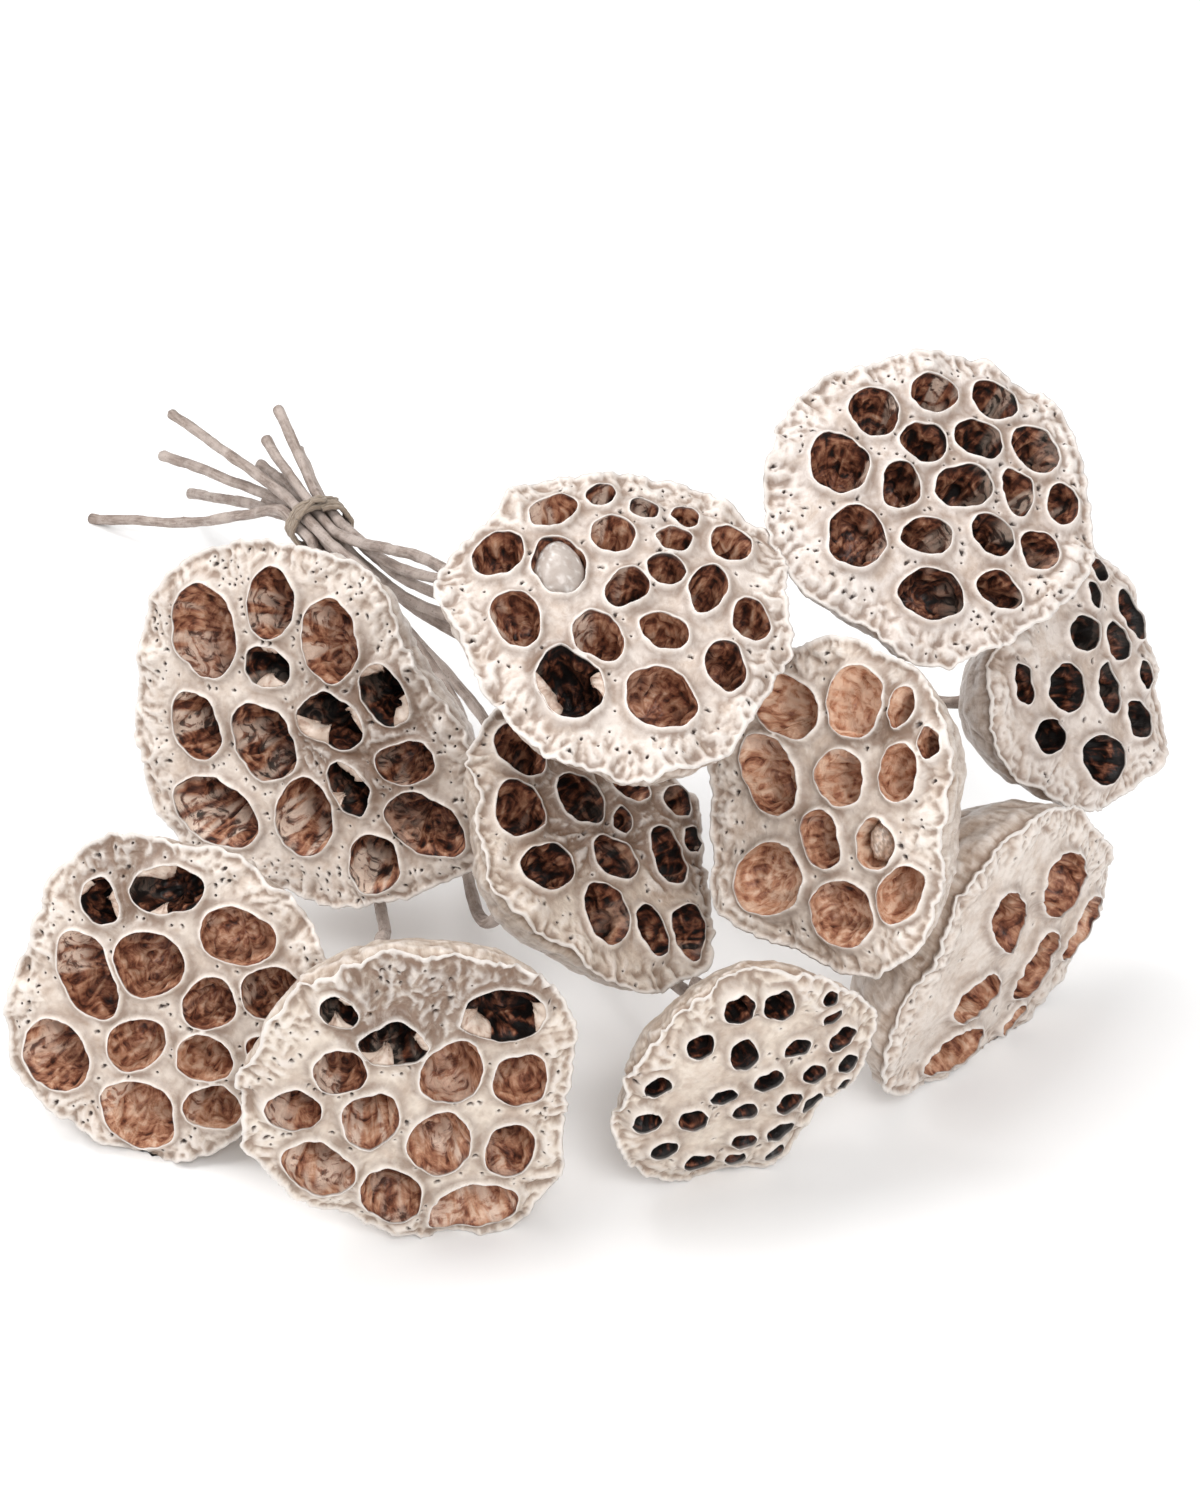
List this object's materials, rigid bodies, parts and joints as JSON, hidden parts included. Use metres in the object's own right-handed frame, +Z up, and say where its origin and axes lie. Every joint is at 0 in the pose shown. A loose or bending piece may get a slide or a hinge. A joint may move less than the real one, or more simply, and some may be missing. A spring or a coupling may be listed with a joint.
{
  "type": "bunch of dried lotus pods",
  "caption": "Bunch of dried, pearl-washed lotus seed pods on thin stems, tied once round the stems and lying on its side; made for dry flower arrangements and display.",
  "frame": {"origin": "middle of the bunch's footprint, on the surface it lies on", "axes": "+Z up; the pods lie towards -Y and the cut stem ends towards +Y; +X is to the right for a viewer who faces the pods"},
  "size_m": [0.3568, 0.4256, 0.1933],
  "materials": {
    "pod_wood": "dry plant tissue with a thin pearl white wash, brown inside the chambers",
    "stem_wood": "dry, matt, grey-brown under a thin white wash",
    "seed_shell": "smooth, satin, under the same white wash",
    "tie_fibre": "matt twisted plant-fibre twine"
  },
  "bodies": {
    "root": {"pod_a": "pod_wood", "pod_b": "pod_wood", "pod_c": "pod_wood", "pod_d": "pod_wood", "pod_e": "pod_wood", "pod_f": "pod_wood", "pod_g": "pod_wood", "pod_h": "pod_wood", "pod_i": "pod_wood", "pod_j": "pod_wood", "stem_a": "stem_wood", "stem_b": "stem_wood", "stem_c": "stem_wood", "stem_d": "stem_wood", "stem_e": "stem_wood", "stem_f": "stem_wood", "stem_g": "stem_wood", "stem_h": "stem_wood", "stem_i": "stem_wood", "stem_j": "stem_wood", "seed_d": "seed_shell", "seed_f": "seed_shell", "tie": "tie_fibre"}
  },
  "joints": []
}
